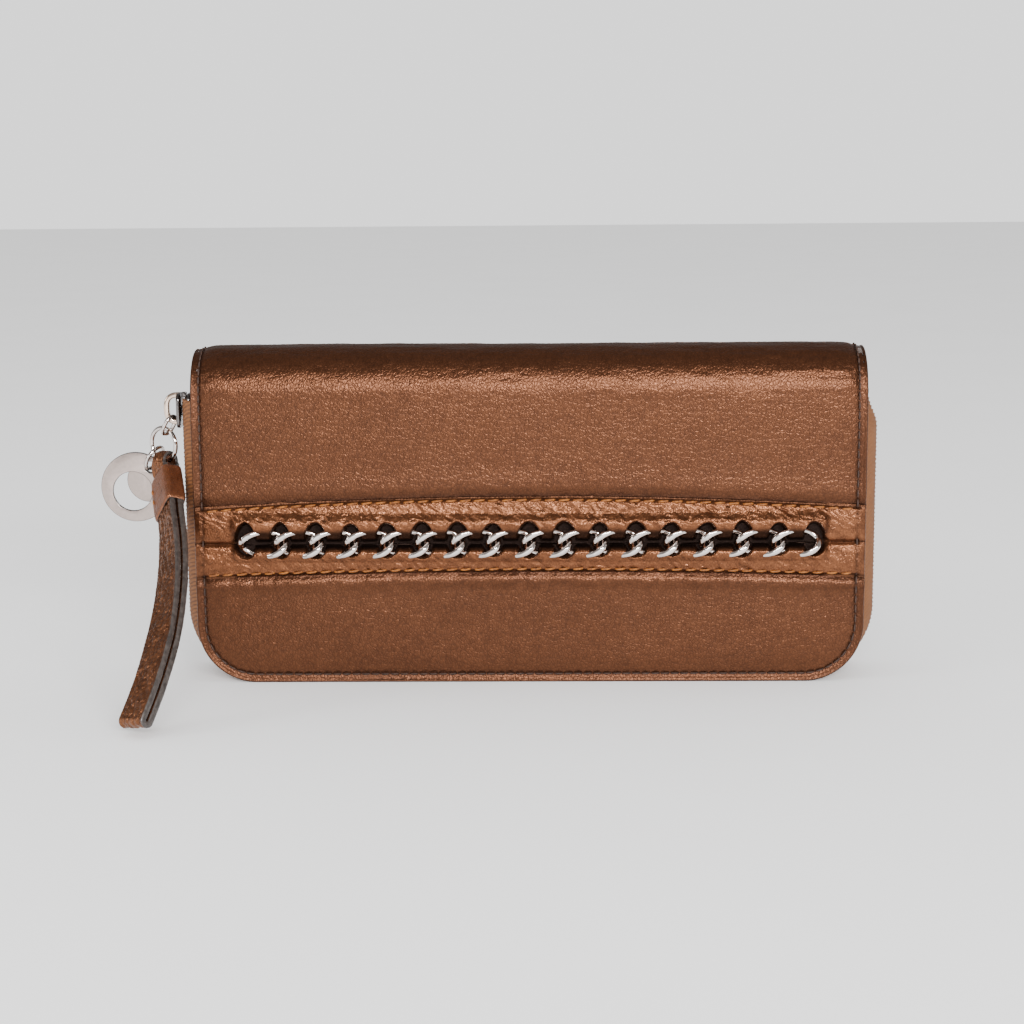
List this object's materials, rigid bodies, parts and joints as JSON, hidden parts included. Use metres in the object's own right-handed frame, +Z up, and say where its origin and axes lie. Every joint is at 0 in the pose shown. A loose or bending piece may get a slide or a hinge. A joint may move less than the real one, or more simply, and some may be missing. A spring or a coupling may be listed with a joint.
{
  "type": "chain wallet",
  "caption": "Zip-around long wallet in pebbled metallic leather with a curb chain laced through a front band, gusseted card and coin interior, wrist strap and hanging charms.",
  "frame": {"origin": "middle of the zip edge that the wallet stands on, half way through its thickness", "axes": "+X along the length to the wearer's right of the front cover, -Y out of the front cover with the chain, +Z up to the spine"},
  "size_m": [0.2264, 0.0854, 0.097],
  "materials": {
    "bronze_leather": "metallic pebbled",
    "strap_leather": "metallic pebbled, painted edges",
    "inner_leather": "satin smooth grain",
    "lining": "matt twill",
    "board": "matt fibre board",
    "zip_tape": "matt woven tape",
    "zip_coil": "moulded coil",
    "gunmetal": "polished",
    "satin_nickel": "satin with polished edges"
  },
  "bodies": {
    "front_cover": {"front_upper_panel": "bronze_leather", "front_lower_panel": "bronze_leather", "band_upper_flap": "bronze_leather", "band_lower_flap": "bronze_leather", "front_chain": "gunmetal", "front_board": "board", "front_lining": "lining", "front_card_pocket_1": "inner_leather", "front_card_pocket_2": "inner_leather", "front_card_pocket_3": "inner_leather", "front_card_pocket_4": "inner_leather", "front_zip_tape": "zip_tape", "front_zip_coil": "zip_coil", "zip_stops": "gunmetal"},
    "spine": {"spine_leather": "bronze_leather", "spine_lining": "lining", "spine_end_tabs": "inner_leather", "coin_pocket": "inner_leather", "coin_zip_tape": "zip_tape", "coin_zip_coil": "zip_coil", "front_gussets": "lining", "back_gussets": "lining"},
    "back_cover": {"back_panel": "bronze_leather", "back_board": "board", "back_lining": "lining", "back_card_pocket_1": "inner_leather", "back_card_pocket_2": "inner_leather", "back_card_pocket_3": "inner_leather", "back_card_pocket_4": "inner_leather", "back_zip_tape": "zip_tape", "back_zip_coil": "zip_coil"},
    "slider": {"slider_body": "gunmetal", "slider_arch": "satin_nickel"},
    "link": {"connecting_link": "gunmetal"},
    "ring": {"strap_ring": "gunmetal"},
    "strap": {"wrist_strap": "strap_leather", "strap_keeper": "bronze_leather"},
    "charm_hanger": {"charm_link": "gunmetal"},
    "front_charm": {"ring_charm": "satin_nickel"},
    "rear_charm": {"disc_charm": "satin_nickel"},
    "coin_zip_slider": {"coin_slider": "gunmetal"},
    "coin_zip_puller": {"coin_puller": "gunmetal"}
  },
  "joints": [
    {"name": "spine_fold", "type": "hinge", "parent": "front_cover", "child": "spine", "pos_m": [0, -0.013, 0.084], "axis": [1, 0, 0], "range_deg": [0, 30], "deforming": ["front_gussets"]},
    {"name": "back_cover_fold", "type": "hinge", "parent": "spine", "child": "back_cover", "pos_m": [0, 0.013, 0.084], "axis": [1, 0, 0], "range_deg": [0, 30], "deforming": ["back_gussets"]},
    {"name": "zip_travel", "type": "slide", "parent": "front_cover", "child": "slider", "axis": [0, 0, -1], "range_m": [0, 0.045]},
    {"name": "link_swing", "type": "hinge", "parent": "slider", "child": "link", "pos_m": [-0.1031, 0, 0.07635], "axis": [0, 1, 0], "range_deg": [0, 40]},
    {"name": "ring_swing", "type": "hinge", "parent": "link", "child": "ring", "pos_m": [-0.10512, 0, 0.07255], "axis": [0.3731, 0.9063, -0.1984], "range_deg": [0, 25]},
    {"name": "strap_swing", "type": "hinge", "parent": "ring", "child": "strap", "pos_m": [-0.10614, 0.00072, 0.06307], "axis": [-0.816, 0.5714, -0.0872], "range_deg": [0, 60]},
    {"name": "charm_link_swing", "type": "hinge", "parent": "ring", "child": "charm_hanger", "pos_m": [-0.10872, 0.00252, 0.06668], "axis": [0.5407, 0.8146, 0.2101], "range_deg": [0, 15]},
    {"name": "front_charm_swing", "type": "hinge", "parent": "charm_hanger", "child": "front_charm", "pos_m": [-0.11124, 0.00581, 0.06078], "axis": [0, 1, 0], "range_deg": [0, 25]},
    {"name": "rear_charm_swing", "type": "hinge", "parent": "charm_hanger", "child": "rear_charm", "pos_m": [-0.11124, 0.00581, 0.06078], "axis": [0, 1, 0], "range_deg": [-12, 25]},
    {"name": "coin_zip_travel", "type": "slide", "parent": "spine", "child": "coin_zip_slider", "axis": [1, 0, 0], "range_m": [0, 0.14]},
    {"name": "coin_puller_swing", "type": "hinge", "parent": "coin_zip_slider", "child": "coin_zip_puller", "pos_m": [-0.07, 0, 0.0135], "axis": [0, 1, 0], "range_deg": [-75, 75]}
  ],
  "couplings": [
    {"joint": "back_cover_fold", "follows": "spine_fold", "ratio": 1}
  ]
}
